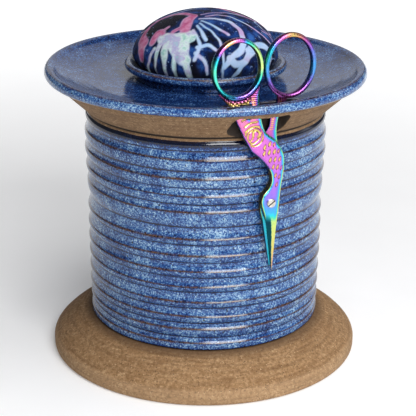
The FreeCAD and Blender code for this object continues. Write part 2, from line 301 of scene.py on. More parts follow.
def plain_steel(name):
    s = Shader(name)
    wear_and_highlight = s.noise(1.6, 3, 0.6)
    colour = s.ramp(wear_and_highlight, [(0.35, tone(178, 172, 164)), (0.65, tone(226, 222, 214))])
    turn = math.radians(35)
    across = -math.sin(turn) * ALONG + math.cos(turn) * np.array([0, 0, 1])
    from_axis = s.node("VectorMath", {0: s.place, 1: tuple(PIVOT * MM)}, operation="SUBTRACT").outputs[0]
    aside = s.node("VectorMath", {0: from_axis, 1: tuple(across)}, operation="DOT_PRODUCT").outputs["Value"]
    # Painted shade: a dark stripe along the screw's slot.
    slot_shade = s.stretch(s.math("ABSOLUTE", aside), 0.24 * MM, 0.34 * MM, 0.92, 0.0)
    colour = s.mix(slot_shade, colour, tone(14, 12, 16))
    turned = s.noise(0.4, 2, place=s.squeezed(1.0, 1.0, 5.0))
    return s.finish(colour, s.stretch(wear_and_highlight, 0.3, 0.7, 0.2, 0.4), s.bump(turned, 0.03), Metallic=1.0)


def grey_card(name):
    s = Shader(name)
    pulp = s.noise(0.9, 4, 0.7)
    colour = s.ramp(pulp, [(0.3, tone(118, 114, 106)), (0.7, tone(164, 160, 150))])
    return s.finish(colour, 0.92, s.bump(pulp, 0.06), Specular_IOR_Level=0.2)


def cotton_thread(name):
    s = Shader(name)
    ply = s.node("TexWave", {"Vector": s.place, "Scale": 420.0, "Distortion": 1.0}).outputs["Fac"]
    colour = s.ramp(ply, [(0.2, tone(176, 168, 156)), (0.8, tone(226, 220, 208))])
    return s.finish(colour, 0.8, s.bump(ply, 0.06), Specular_IOR_Level=0.25)


def clear_glue(name):
    s = Shader(name)
    haze = s.noise(3.0, 3, 0.5)
    colour = s.ramp(haze, [(0.3, tone(214, 208, 190)), (0.7, tone(236, 232, 222))])
    return s.finish(colour, s.stretch(haze, 0.3, 0.7, 0.2, 0.4), s.bump(haze, 0.1))


# -------------------------------------------------------------- mesh helpers
def smoothstep(value, low, high):
    t = np.clip((value - low) / (high - low), 0, 1)
    return t * t * (3 - 2 * t)


def arc(a, b, c, count=9):
    """Points on the arc from a through b to c."""
    (ax, ay), (bx, by), (cx, cy) = a, b, c
    d = 2 * (ax * (by - cy) + bx * (cy - ay) + cx * (ay - by))
    sa, sb, sc = ax * ax + ay * ay, bx * bx + by * by, cx * cx + cy * cy
    ux = (sa * (by - cy) + sb * (cy - ay) + sc * (ay - by)) / d
    uy = (sa * (cx - bx) + sb * (ax - cx) + sc * (bx - ax)) / d
    radius = math.hypot(ax - ux, ay - uy)
    start = math.atan2(ay - uy, ax - ux)
    middle = (math.atan2(by - uy, bx - ux) - start) % (2 * math.pi)
    sweep = (math.atan2(cy - uy, cx - ux) - start) % (2 * math.pi)
    if middle > sweep:
        sweep -= 2 * math.pi
    angles = [start + sweep * k / (count - 1) for k in range(count)]
    return [(ux + radius * math.cos(t), uy + radius * math.sin(t)) for t in angles]


def finer(stops, step):
    """Polyline with every run divided into pieces no longer than step."""
    out = [stops[0]]
    for a, b in zip(stops, stops[1:]):
        count = max(1, math.ceil(math.dist(a, b) / step))
        out += [tuple(np.add(a, np.subtract(b, a) * k / count)) for k in range(1, count + 1)]
    return out


def smooth_line(stops, step=0.25):
    """Evenly drawn Catmull-Rom curve through points of a plane."""
    points = np.array(stops, float)
    ends = [2 * points[0] - points[1], 2 * points[-1] - points[-2]]
    padded = np.vstack([ends[0], points, ends[1]])
    out = []
    for p0, p1, p2, p3 in zip(padded, padded[1:], padded[2:], padded[3:]):
        count = max(2, math.ceil(np.linalg.norm(p2 - p1) / step))
        for k in range(count):
            t = k / count
            out.append(0.5 * (2 * p1 + (p2 - p0) * t + (2 * p0 - 5 * p1 + 4 * p2 - p3) * t ** 2
                              + (3 * p1 - p0 - 3 * p2 + p3) * t ** 3))
    out.append(points[-1])
    return [tuple(p) for p in out]


def wander(azimuth, seed, waves=(1, 2, 3, 5, 8)):
    """Smooth closed wobble round the jar, about -1 to 1."""
    shift = np.random.default_rng(seed).uniform(0, 2 * math.pi, len(waves))
    weights = [1 / math.sqrt(k) for k in waves]
    total = sum(w * np.sin(k * azimuth + p) for k, w, p in zip(waves, weights, shift))
    return total / sum(weights) * 1.6


def new_object(name, points, faces, slot=None, body=None, standing_for=()):
    """Mesh object from points in millimetres, smooth-shaded."""
    mesh = bpy.data.meshes.new(name)
    mesh.from_pydata([tuple(p) for p in np.asarray(points) * MM], [], [tuple(f) for f in faces])
    mesh.validate()
    mesh.shade_smooth()
    made = bpy.data.objects.new(name, mesh)
    bpy.context.scene.collection.objects.link(made)
    if body:
        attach(made, body)
    if standing_for:
        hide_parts(*standing_for)
    return made


def coordinates(mesh):
    """The mesh's points in millimetres."""
    flat = np.empty(len(mesh.vertices) * 3)
    mesh.vertices.foreach_get("co", flat)
    return flat.reshape(-1, 3) / MM


def paint(mesh, name, values):
    """Stores one number a point for the shaders."""
    layer = mesh.attributes.new(name, "FLOAT", "POINT")
    layer.data.foreach_set("value", np.asarray(values, np.float32).ravel())


def turned(rows, sides, closed, bend=None):
    """Points and faces of (radius, height) rows turned round the jar's axis.

    Rows run anticlockwise round the section, so faces point outwards. A row on
    the axis becomes one point."""
    azimuth = np.linspace(0, 2 * math.pi, sides, endpoint=False)[None, :]
    rows = np.array(rows, float)
    radius = np.repeat(rows[:, :1], sides, 1)
    height = np.repeat(rows[:, 1:], sides, 1)
    if bend:
        radius, height = bend(radius, height, azimuth)
    points = np.stack([radius * np.sin(azimuth), -radius * np.cos(azimuth), height], -1)
    count = len(rows)
    first = np.arange(count)[:, None] * sides + np.arange(sides)[None, :]
    pole = rows[:, 0] < 1e-6
    first[pole] = first[pole][:, :1]
    following = np.roll(first, -1, 1)
    faces = []
    for low in range(count if closed else count - 1):
        high = (low + 1) % count
        for a, b, c, d in zip(first[low], following[low], following[high], first[high]):
            if pole[low]:
                faces.append((a, c, d))
            elif pole[high]:
                faces.append((a, b, c))
            else:
                faces.append((a, b, c, d))
    return points.reshape(-1, 3), faces


def lathe(name, rows, sides, closed, bend=None, **kept):
    """Object turned from rows, without points that no face uses."""
    points, faces = turned(rows, sides, closed, bend)
    made = new_object(name, points, faces, **kept)
    used = np.zeros(len(made.data.vertices), bool)
    corners = np.empty(len(made.data.loops), np.int32)
    made.data.loops.foreach_get("vertex_index", corners)
    used[corners] = True
    if not used.all():
        work = bmesh.new()
        work.from_mesh(made.data)
        work.verts.ensure_lookup_table()
        bmesh.ops.delete(work, geom=[work.verts[i] for i in np.flatnonzero(~used)], context="VERTS")
        work.to_mesh(made.data)
        work.free()
    return made


def cylindrical(mesh):
    """Radius, azimuth and height of the mesh's points."""
    points = coordinates(mesh)
    return np.hypot(points[:, 0], points[:, 1]), np.arctan2(points[:, 0], -points[:, 1]), points[:, 2]


SIDES = 288

# ---------------------------------------------------------------------- foot
FOOT_ROWS = finer([(0, 3), (61, 3), (63.5, 0), (74.8, 0)], 4)
FOOT_ROWS += arc((74.8, 0), (76.1, 0.6), (76.6, 2.0), 5)[1:]
FOOT_ROWS += arc((76.6, 4.6), (76.1, 6.0), (74.8, 7.5), 6)
FOOT_ROWS += finer(arc((74.8, 7.5), (66.4, 14.2), (57.0, 18.8), 12), 0.55)[1:]
FOOT_ROWS += [(52, 18.8), (52, 16.8), (50, 12.2), (45, 10), (22, 10), (0, 10)]


def throw_foot(radius, height, azimuth):
    """Finger lines of the wheel, and an edge that is not quite true."""
    top = smoothstep(height, 5.5, 8.0) * smoothstep(18.7 - height, 0, 1.5) * (radius > 56)
    lines = np.sin(radius * 2.7 + 0.6 * wander(azimuth, 3)) + 0.6 * np.sin(radius * 1.13 + 2)
    height = height + 0.13 * top * lines
    rim = smoothstep(radius, 70, 76) * (height > 0.5)
    height = height + 0.25 * rim * smoothstep(height, 3, 7) * wander(azimuth, 4)
    radius = radius - 0.22 * smoothstep(radius, 72, 76) * (1 + wander(azimuth, 5)) * 0.5
    return radius, height


foot = lathe(
    "foot", FOOT_ROWS, SIDES, False, throw_foot,
    slot="raw_stoneware", body="jar", standing_for=["foot_flange"],
)
radius, azimuth, height = cylindrical(foot.data)
paint(foot.data, "shade", 0.75 * smoothstep(radius, 62.5, 57.5) * (height > 8))
# Painted highlight: the foot's outer edge made paler.
paint(foot.data, "wear_and_highlight", 0.15 * smoothstep(radius, 74.0, 75.6))
foot.data.materials.append(stoneware_clay("clay_foot"))

# ---------------------------------------------------------------------- wall
WALL_STATIONS = [
    (18.8, 56.4), (40.0, 57.0), (60.0, 57.4), (82.0, 57.3),
    (98.0, 58.1), (108.0, 58.6), (118.0, 58.2), (126.0, 57.7),
]
GROOVE_PAIRS = [
    (22.8, 25.9), (30.1, 33.2), (36.7, 40.8), (44.2, 49.1), (52.2, 56.4), (59.7, 64.0),
    (67.5, 72.6), (75.9, 81.4), (89.0, 92.8), (97.0, 100.6), (105.7, 109.0), (114.6, 118.5),
]
GROOVES = [height for pair in GROOVE_PAIRS for height in pair]
GLAZE_TOP = 122.9
WALL_STOPS = [19.0] + GROOVES + [GLAZE_TOP]
VALLEY = 0.80


def wall_rows():
    """Section of the wall, close rows at each groove."""
    heights = [18.8, 19.0, 19.3, 19.8, 20.4, 21.2]
    for groove in GROOVES:
        heights += [groove + d for d in (-1.1, -0.7, -0.42, -0.22, -0.08, 0.08, 0.22, 0.42, 0.7, 1.1)]
    for low, high in zip(WALL_STOPS, WALL_STOPS[1:]):
        gap = high - low
        count = max(1, int((gap - 2.2) / 0.9))
        heights += [low + 1.1 + (gap - 2.2) * (k + 0.5) / count for k in range(count)]
    heights += [122.1, 122.4, 122.65, 122.85, 123.0, 123.2, 123.5, 123.9, 124.3]
    heights = sorted(set(round(h, 3) for h in heights))
    rows = [(float(np.interp(h, *zip(*WALL_STATIONS))), h) for h in heights]
    rows += arc((57.75, 124.3), (57.2, 125.4), (55.9, 126.0), 7)[1:]
    rows += arc((53.5, 126.0), (52.4, 125.6), (52.0, 124.5), 5)
    rows += finer([(52.0, 124.5), (52.0, 18.8)], 6)[1:]
    return rows


def throw_wall(radius, height, azimuth):
    """Section of the throwing: coves that flare down to a crest, and rolls below it."""
    outer = radius > 54
    roll = np.where(height < GLAZE_TOP, -VALLEY, 0.0)
    for index, (low, high) in enumerate(zip(WALL_STOPS, WALL_STOPS[1:])):
        t = np.clip((high - height) / (high - low), 0, 1)
        within = (height >= low) & (height < high)
        if index % 2:
            swell = 0.96 * t ** 2.3
        else:
            swell = 0.96 * (1 - t ** 2.6) + 0.34 * np.sin(math.pi * t ** 0.75)
        roll += np.where(within, swell, 0)
    lip = 0.55 * np.exp(-((height - 19.7) / 0.75) ** 2)
    radius = radius + np.where(outer, roll + lip, 0)
    radius = radius - np.where(outer & (height < GLAZE_TOP), 0.6 * smoothstep(height, 121.4, GLAZE_TOP), 0)
    radius = radius - np.where(outer & (height >= GLAZE_TOP), 0.42, 0)
    sway = np.zeros_like(height)
    for index, groove in enumerate(GROOVES):
        sway += np.exp(-((height - groove) / 1.6) ** 2) * 0.20 * wander(azimuth, 20 + index)
    edge = np.exp(-((height - GLAZE_TOP) / 0.9) ** 2) * 0.30 * wander(azimuth, 60, (2, 5, 9, 14, 23))
    height = height + np.where(outer, sway + edge, 0)
    radius = radius + np.where(outer, 0.10 * wander(azimuth + height * 0.03, 61), 0)
    return radius, height


WALL_ROWS = wall_rows()
wall = lathe(
    "wall", WALL_ROWS, SIDES, True, throw_wall,
    slot="blue_glaze", body="jar", standing_for=["jar_wall"],
)
row_height = np.repeat(np.array(WALL_ROWS)[:, 1], SIDES)
row_outer = np.repeat(np.array(WALL_ROWS)[:, 0] > 54, SIDES)
radius, azimuth, height = cylindrical(wall.data)
brown = np.zeros(len(height))
dark = np.zeros(len(height))
# Brown along each pair's lower crest where the glaze breaks; dark along each upper valley, glaze pooled
# there with painted shade.
for low, high in GROOVE_PAIRS:
    thick = 0.85 + 0.35 * wander(azimuth, int(low * 10))
    brown = np.maximum(brown, np.exp(-((row_height - low) / (0.52 * thick)) ** 2))
    dark = np.maximum(dark, np.exp(-((row_height - high) / (0.36 * thick)) ** 2))
brown = np.maximum(brown, 0.3 * np.exp(-((row_height - GLAZE_TOP + 0.2) / 0.25) ** 2))
# Painted shadow of the lid on the top roll, over glaze that is darker there too.
dark = np.maximum(dark, 0.8 * smoothstep(row_height, 119.2, 120.8) * (row_height < GLAZE_TOP + 0.3))
dark = np.maximum(dark, smoothstep(row_height, 20.2, 19.3))
pale = np.zeros(len(height))
for low, high in zip(WALL_STOPS, WALL_STOPS[1:]):
    t = (row_height - (low + high) / 2) / ((high - low) / 2)
    pale = np.maximum(pale, np.where(np.abs(t) < 1, 1 - t ** 2, 0) * (0.3 if high - low < 4.5 else 0.55))
paint(wall.data, "brown", brown * row_outer)
paint(wall.data, "dark", dark * row_outer)
paint(wall.data, "pale", pale * row_outer)
paint(wall.data, "clay", row_outer * smoothstep(row_height, GLAZE_TOP - 0.2, GLAZE_TOP + 0.35))
paint(wall.data, "shade", 0.08 + 0.92 * row_outer * smoothstep(row_height, 123.85, 124.35))
GLAZE = blue_glaze("glaze_floating_blue")
wall.data.materials.append(GLAZE)

# ------------------------------------------------------- the scissors' frame
# Drawn about the pivot: x along the plane of the blades, y up, z outwards.
SCISSORS_AZIMUTH = math.radians(24.0)
ALONG = np.array([math.cos(SCISSORS_AZIMUTH), math.sin(SCISSORS_AZIMUTH), 0])
OUTWARD = np.array([math.sin(SCISSORS_AZIMUTH), -math.cos(SCISSORS_AZIMUTH), 0])
PIVOT_ALONG, PIVOT_OUT, PIVOT_UP = 4.7, 61.5, 93.8
PIVOT = ALONG * PIVOT_ALONG + OUTWARD * PIVOT_OUT + np.array([0, 0, PIVOT_UP])


def beside_wall(points):
    """Points of the scissors' drawing in the model's frame."""
    points = np.asarray(points, float)
    return PIVOT + points[:, :1] * ALONG + points[:, 1:2] * (0, 0, 1) + points[:, 2:3] * OUTWARD


# ----------------------------------------------------------------------- lid
LID_ROWS = finer([(0, 133), (43.5, 133)], 5)
LID_ROWS += arc((43.5, 133), (46, 132), (47, 129.5), 6)[1:]
LID_ROWS += [(47, 128), (47, 126.3), (52, 126.3), (57.0, 126.3)]
LID_ROWS += arc((57.6, 126.0), (57.95, 125.35), (58.5, 125.2), 6)
LID_ROWS += finer([(58.5, 125.2), (58.8, 125.45), (73.2, 138.85)], 0.8)[1:]
LID_ROWS += [(73.7, 139.2), (74.3, 139.36), (74.8, 139.5)]
LID_ROWS += arc((74.8, 139.5), (76.6, 140.2), (77.5, 141.8), 8)[1:]
LID_ROWS += arc((77.5, 141.8), (77.05, 144.0), (75.5, 145.35), 9)[1:]
LID_ROWS += arc((75.5, 145.35), (73.6, 144.9), (71.6, 143.7), 7)[1:]
LID_ROWS += finer(arc((71.6, 143.7), (61.8, 140.7), (51.0, 139.4), 14), 0.9)[1:]
LID_ROWS += finer(arc((51.0, 139.4), (45.5, 139.1), (40.0, 139.0), 8), 0.9)[1:]
LID_ROWS += finer([(40.0, 139.0), (0, 139.0)], 4)[1:]

LIP_FOOT, LIP_RISE = 139.6, 5.75
HOLE_LEFT, HOLE_RIGHT, HOLE_INNER, HOLE_OUTER, HOLE_CORNER = -21.2, 6.4, 58.1, 70.3, 4.0
DISH_LINE = [(0, 139.0), (40, 139.0), (51, 139.4), (61.8, 140.7), (71.6, 143.7), (80, 148)]
CONE_LINE = [(40, 108.0), (58.8, 125.45), (73.4, 139.0), (80, 145.1)]


def rim_dip(radius, azimuth):
    """How far the rim sinks towards the front."""
    return 1.3 * smoothstep(radius, 60, 75) * np.maximum(np.cos(azimuth), 0) ** 1.5


def throw_lid(radius, height, azimuth):
    """Turning lines on the dish and the cone, and a rim that wanders a little."""
    top = smoothstep(height, 138.6, 138.9) * (radius < 72) * (radius > 41)
    height = height + 0.022 * top * (np.sin(radius * 1.7) + np.sin(radius * 0.83 + 1))
    cone = (height < 138.7) * (radius > 58.6)
    radius = radius + 0.05 * cone * np.sin(height * 3.3 + 0.4 * wander(azimuth, 7))
    rim = smoothstep(radius, 70, 75)
    height = height + 0.18 * rim * wander(azimuth, 8)
    upper = (radius < 75.6) & (height > np.interp(radius, *zip(*DISH_LINE)) - 1)
    share = np.where(upper, 1, np.clip((height - LIP_FOOT) / LIP_RISE, 0, 1))
    height = height - share * rim_dip(radius, azimuth)
    radius = radius - 0.06 * rim * (1.6 + wander(azimuth, 9))
    return radius, height


def hole_shape(grow_left, grow_right, grow_sides, steps=9):
    """Rounded rectangle in plan about the pivot, as (x, outward) points."""
    left, right = HOLE_LEFT - grow_left, HOLE_RIGHT + grow_right
    low, high = HOLE_INNER - PIVOT_OUT - grow_sides, HOLE_OUTER - PIVOT_OUT + grow_sides
    corner = HOLE_CORNER + 0.6 * grow_sides
    centres = [
        (right - corner, low + corner, -90), (right - corner, high - corner, 0),
        (left + corner, high - corner, 90), (left + corner, low + corner, 180),
    ]
    out = []
    for x, n, start in centres:
        for k in range(steps):
            turn = math.radians(start + 90 * k / (steps - 1))
            out.append((x + corner * math.cos(turn), n + corner * math.sin(turn)))
    return finer(out + out[:1], 1.2)[:-1]


def hole_tool():
    """Slot with lips that follow the dish above and the cone below."""
    rings = [(1.3, 1.3, 1.3, 0.0, [(0, 118.0), (100, 118.0)])]
    for spread, rise in ((1.3, -1.3), (0.75, -0.45), (0.42, 0.1), (0.2, 0.5), (0.05, 0.9), (0.0, 1.4)):
        rings.append((spread, spread, spread, rise, CONE_LINE))
    flare = ((0.0, 0.0, 0.0, -5.2), (1.0, 1.9, 0.3, -3.2), (2.2, 4.0, 0.7, -1.7), (3.2, 5.6, 1.2, -0.7),
             (4.4, 7.2, 2.0, -0.05), (5.8, 8.8, 3.2, 0.6))
    for left, right, sides, rise in flare:
        rings.append((left, right, sides, rise, DISH_LINE))
    count = len(hole_shape(0, 0, 0))
    points = []
    for left, right, sides, rise, line in rings:
        shape = hole_shape(left, right, sides)
        picks = np.linspace(0, len(shape), count, endpoint=False)
        loop = np.array(shape + shape[:1])
        xs = np.interp(picks, np.arange(len(loop)), loop[:, 0])
        ns = np.interp(picks, np.arange(len(loop)), loop[:, 1])
        flat = beside_wall(np.stack([xs, 0 * xs, ns], -1))
        reach = np.hypot(flat[:, 0], flat[:, 1])
        dip = rim_dip(reach, np.arctan2(flat[:, 0], -flat[:, 1])) if line is DISH_LINE else 0
        flat[:, 2] = np.interp(reach, *zip(*line)) + rise - dip
        if points:
            flat[:, 2] = np.maximum(flat[:, 2], points[-1][:, 2] + 0.15)
        points.append(flat)
    faces = []
    for ring in range(len(points) - 1):
        for k in range(count):
            after = (k + 1) % count
            low, high = ring * count, (ring + 1) * count
            faces.append((low + k, high + k, high + after, low + after))
    faces.append(tuple(range(count)))
    faces.append(tuple(reversed(range((len(points) - 1) * count, len(points) * count))))
    return new_object("hole_tool", np.vstack(points), faces)


lid = lathe(
    "lid", LID_ROWS, SIDES, False, throw_lid,
    slot="blue_glaze", body="lid", standing_for=["lid_dish"],
)
tool = hole_tool()
cut = lid.modifiers.new("hole", "BOOLEAN")
cut.operation = "DIFFERENCE"
cut.object = tool
cut.solver = "EXACT"
bpy.context.view_layer.update()
cut_mesh = bpy.data.meshes.new_from_object(lid.evaluated_get(bpy.context.evaluated_depsgraph_get()))
lid.modifiers.clear()
lid.data = cut_mesh
bpy.data.objects.remove(tool)
cut_mesh.shade_smooth()
cut_mesh.set_sharp_from_angle(angle=math.radians(40))

points = coordinates(lid.data)
radius, azimuth, height = cylindrical(lid.data)
along = points @ ALONG - PIVOT_ALONG
outward = points @ OUTWARD
dip = rim_dip(radius, azimuth)
dish = np.interp(radius, *zip(*DISH_LINE)) - dip
level = (height - LIP_FOOT * dip / LIP_RISE) / (1 - dip / LIP_RISE)
in_hole = ((along > HOLE_LEFT - 6) & (along < HOLE_RIGHT + 9.5)
           & (outward > HOLE_INNER - 3.5) & (outward < HOLE_OUTER + 3.5)
           & (height < dish - 0.12) & (height > np.interp(radius, *zip(*CONE_LINE)) + 0.4))
lip_wave = 139.5 + 0.35 * wander(azimuth, 10, (3, 7, 12, 19, 31))
clay = np.where(radius > 73.0, smoothstep(lip_wave + 0.3 - height, 0, 0.5), (height < 138.9) * 1.0)
deep_hole = smoothstep(dish - height, 1.2, 2.0)
clay = np.where(in_hole, deep_hole, clay)
brown = 0.75 * np.exp(-((radius - 75.9) / 0.45) ** 2) * (level > 144.2)
brown = np.maximum(brown, 0.7 * np.exp(-((height - lip_wave - 0.35) / 0.4) ** 2) * (radius > 73.2))
brown = np.maximum(brown, np.where(in_hole, np.exp(-((dish - height - 0.9) / 0.7) ** 2), 0))
paint(lid.data, "brown", brown)
outer_face = smoothstep(radius, 75.5, 76.0)
inside_lip = (height > 138.9) * (height > dish - 1.5) * (1 - outer_face)
# Painted shade: the dish's inside darker, most towards the cup.
dark = inside_lip * (0.30 + 0.06 * smoothstep(radius, 60, 48))
# In the hole the glaze is painted near black: painted shade.
paint(lid.data, "dark", np.where(in_hole, np.maximum(dark, smoothstep(dish - height, 0.1, 0.5)), dark))
paint(lid.data, "pale", 0.4 * outer_face)
paint(lid.data, "clay", clay)
near_seat = smoothstep(height, 125.9, 125.35)
near_cup = smoothstep(radius, 62, 57)
paint(lid.data, "shade", 0.9 * in_hole * deep_hole + 0.05 + 0.85 * near_seat + 0.12 * near_cup)
lid.data.materials.append(GLAZE)

# ----------------------------------------------------------------------- cup
CUP_ROWS = [(31.0, 139.02), (33, 139.02), (34.4, 139.02)]
CUP_ROWS += arc((34.4, 139.02), (34.4, 140.5), (34.9, 141.8), 6)[1:]
CUP_ROWS += arc((34.9, 141.8), (35.6, 142.7), (36.6, 143.1), 6)[1:]
CUP_ROWS += [(37.1, 143.05)]
CUP_ROWS += arc((37.6, 143.1), (39.0, 144.7), (38.2, 146.2), 10)
CUP_ROWS += arc((38.2, 146.2), (37.4, 146.7), (36.2, 146.5), 7)[1:]
CUP_ROWS += finer(arc((36.2, 146.5), (33.6, 143.6), (31.0, 140.6), 7), 0.8)[1:]


def throw_cup(radius, height, azimuth):
    lip = smoothstep(height, 142.5, 145)
    height = height + 0.12 * lip * wander(azimuth, 12)
    radius = radius + 0.10 * smoothstep(height, 139.3, 141) * wander(azimuth, 13)
    return radius, height


cup = lathe(
    "cup", CUP_ROWS, SIDES, True, throw_cup,
    slot="blue_glaze", body="lid", standing_for=["cushion_cup"],
)
radius, azimuth, height = cylindrical(cup.data)
edge = np.exp(-((np.hypot(radius - 38.35, height - 146.1)) / 0.42) ** 2)
lip_top = smoothstep(height, 145.3, 146.2) * smoothstep(radius, 34.5, 36.0)
paint(cup.data, "brown", np.clip(np.maximum(1.2 * edge, 0.38 * lip_top), 0, 1))
# The cup a little darker all over, and painted shade low down where it meets the dish.
paint(cup.data, "dark", 0.15 + 0.4 * smoothstep(height, 144.0, 141.5))
paint(cup.data, "pale", 0.5 * (height > 145.9) * (radius > 34))
paint(cup.data, "clay", np.zeros(len(height)))
paint(cup.data, "shade", np.zeros(len(height)))
cup.data.materials.append(GLAZE)

# ---------------------------------------------------------------- pincushion
CUSHION_SIDES = 240
CUSHION_TOP = 170.6


def cushion_rows():
    """Section from the middle of the base up to the crown."""
    rows = [(0, 141.9), (8, 141.9), (16, 141.9), (22, 141.9), (26, 141.9), (28.4, 142.0)]
    rows += finer(arc((28.6, 142.0), (32.4, 144.6), (35.0, 149.0), 9), 0.8)[1:]
    for k in range(1, 46):
        turn = math.radians(90 * k / 45)
        rows.append((35.0 * math.cos(turn), 149 + (CUSHION_TOP - 149) * math.sin(turn)))
    rows[-1] = (0, rows[-1][1])
    return rows


def gather(radius, height, azimuth):
    """Folds where the cloth is drawn in above the cup, dying out up the dome."""
    folds = np.sin(31 * azimuth + 1.4 * wander(azimuth, 31)) + 0.6 * np.sin(53 * azimuth + 2)
    depth = 0.42 * smoothstep(157 + 3 * wander(azimuth, 32) - height, 0, 11) * (radius > 24)
    full = 0.25 * wander(azimuth, 33) * smoothstep(height, 143, 150)
    return radius + depth * (folds - 0.6) + full - 0.2, height


def inflate(cushion, held, pressure, frames, cap):
    """Cloth simulation of the stuffed cover; no point moves further than cap."""
    scene = bpy.context.scene
    start = coordinates(cushion.data)
    group = cushion.vertex_groups.new(name="held")
    group.add([int(i) for i in held], 1.0, "REPLACE")
    cloth = cushion.modifiers.new("Cloth", "CLOTH")
    cloth.settings.quality = 4
    cloth.settings.use_pressure = True
    cloth.settings.uniform_pressure_force = pressure
    cloth.settings.vertex_group_mass = "held"
    cloth.settings.effector_weights.gravity = 0
    cloth.point_cache.frame_start = 1
    cloth.point_cache.frame_end = frames
    for number in range(1, frames + 1):
        scene.frame_set(number)
    result = cushion.evaluated_get(bpy.context.evaluated_depsgraph_get())
    shift = coordinates(result.data) - start
    cushion.modifiers.clear()
    cushion.vertex_groups.clear()
    scene.frame_set(1)
    length = np.linalg.norm(shift, axis=1)[:, None]
    shift *= np.minimum(1, cap / np.maximum(length, 1e-9))
    cushion.data.vertices.foreach_set("co", ((start + shift) * MM).ravel())
    cushion.data.update()


cushion = lathe(
    "pincushion", cushion_rows(), CUSHION_SIDES, False, gather,
    slot="batik_cotton", body="lid", standing_for=["pincushion_cover", "pincushion_filling"],
)
radius, azimuth, height = cylindrical(cushion.data)
inflate(cushion, np.flatnonzero(height < 147.0), 4.0, 20, 1.2)
rounder = cushion.modifiers.new("rounder", "SUBSURF")
rounder.levels = 1
rounder.render_levels = 1
finished = bpy.data.meshes.new_from_object(
    cushion.evaluated_get(bpy.context.evaluated_depsgraph_get())
)
cushion.modifiers.clear()
cushion.data = finished
finished.shade_smooth()
points = coordinates(finished)
points[:, 2] = np.minimum(points[:, 2], 171.5)
flat_radius = np.hypot(points[:, 0], points[:, 1])
points[:, :2] *= np.minimum(1, 36.1 / np.maximum(flat_radius, 1e-6))[:, None]
finished.vertices.foreach_set("co", (points * MM).ravel())

# The wax drawing, laid out on the cloth pulled flat: millimetres from the
# crown, to the right and towards the back. A stroke is (start width, end
# width, points).
WAX = [
    (1.0, 3.4, [(-3, -13), (5, -12), (12, -14), (17, -19), (19, -26)]),
    (3.4, 2.6, [(19, -26), (18, -31), (14, -36), (11, -41)]),
    (1.0, 1.7, [(-2, -15), (5, -20), (11, -24)]),
    (1.0, 1.3, [(-3, -17), (3, -24), (8, -32), (11, -47)]),
    (1.2, 1.9, [(-4, -19), (0, -29)]),
    (0.8, 1.2, [(0, -10), (9, -7), (19, -10), (29, -12), (38, -13)]),
    (0.7, 1.1, [(-2, -8), (6, -4), (14, -1), (24, 1)]),
    (3.4, 3.0, [(22, -29), (28, -21), (35, -18), (40, -22), (41, -29)]),
    (5.2, 1.4, [(25, -25), (22, -34), (18, -46)]),
    (4.0, 2.4, [(13, -37), (18, -38), (23, -33)]),
    (0.7, 0.8, [(24, -2), (30, -5), (34, -1), (31, 4), (26, 3), (24, -2)]),
    (0.7, 0.7, [(28, -8), (33, -6), (37, -8), (36, -11)]),
    (1.3, 2.0, [(-6, -22), (-3, -32), (-6, -39)]),
    (2.2, 1.6, [(-4, -33), (1, -32), (5, -34)]),
    (2.2, 1.5, [(-5, -36), (0, -41), (1, -46)]),
]
MINT = [
    (7.0, 9.0, [(-21, -22), (-15, -26), (-9, -26)]),
    (9.0, 6.0, [(-15, -28), (-14, -34), (-11, -38)]),
    (4.6, 3.4, [(-10, -30), (-11, -40), (-10, -50)]),
    (4.4, 1.8, [(-20, -26), (-24, -36), (-28, -43)]),
    (3.2, 1.6, [(-16, -33), (-19, -42), (-21, -48)]),
    (3.0, 1.6, [(-23, -24), (-30, -33), (-36, -38)]),
    (2.0, 1.2, [(-27, -25), (-33, -28), (-41, -31)]),
]
ROSE = [
    (4.5, 6.0, [(-6, -9), (-9, -14), (-10, -20)]),
    (3.0, 1.8, [(-6, -8), (-12, -3), (-20, -1), (-29, -4)]),
    (2.6, 7.5, [(-29, -5), (-33, -10), (-33, -16)]),
    (6.5, 4.0, [(-34, -16), (-37, -22)]),
    (5.0, 3.2, [(-27, -20), (-23, -16), (-21, -18)]),
    (3.0, 1.6, [(-23, -17), (-18, -15)]),
    (2.6, 2.0, [(-10, -18), (-16, -20)]),
]
DEEP = [
    (9.0, 11.0, [(-13, -7), (-21, -9), (-28, -11)]),
    (6.0, 4.0, [(-17, -14), (-25, -17)]),
    (5.0, 7.0, [(-7, -42), (-6, -48)]),
    (4.0, 5.0, [(3, -38), (5, -46)]),
]


def stroke_field(flat, strokes, soft):
    """How far inside the nearest of the strokes each point of the cloth lies, 0 to 1."""
    field = np.zeros(len(flat))
    for start, end, stops in strokes:
        line = np.array(smooth_line(stops, 1.2))
        widths = np.linspace(start, end, len(line))
        for (a, b), wide in zip(zip(line, line[1:]), (widths[:-1] + widths[1:]) / 2):
            run = b - a
            t = np.clip(((flat - a) @ run) / max(run @ run, 1e-9), 0, 1)
            away = np.linalg.norm(flat - a - t[:, None] * run, axis=1)
            field = np.maximum(field, smoothstep(wide / 2 + soft - away, 0, 2 * soft))
    return field


def drawn(strokes, soft):
    """Field of a set of strokes that is drawn again on the far side of the cushion."""
    total = np.zeros(len(cloth_flat))
    for turn in (0, 180):
        angle = math.radians(turn)
        across = cloth_flat[:, 0] * math.cos(angle) + cloth_flat[:, 1] * math.sin(angle)
        back = -cloth_flat[:, 0] * math.sin(angle) + cloth_flat[:, 1] * math.cos(angle)
        total = np.maximum(total, stroke_field(np.stack([across, back], -1), strokes, soft))
    return total


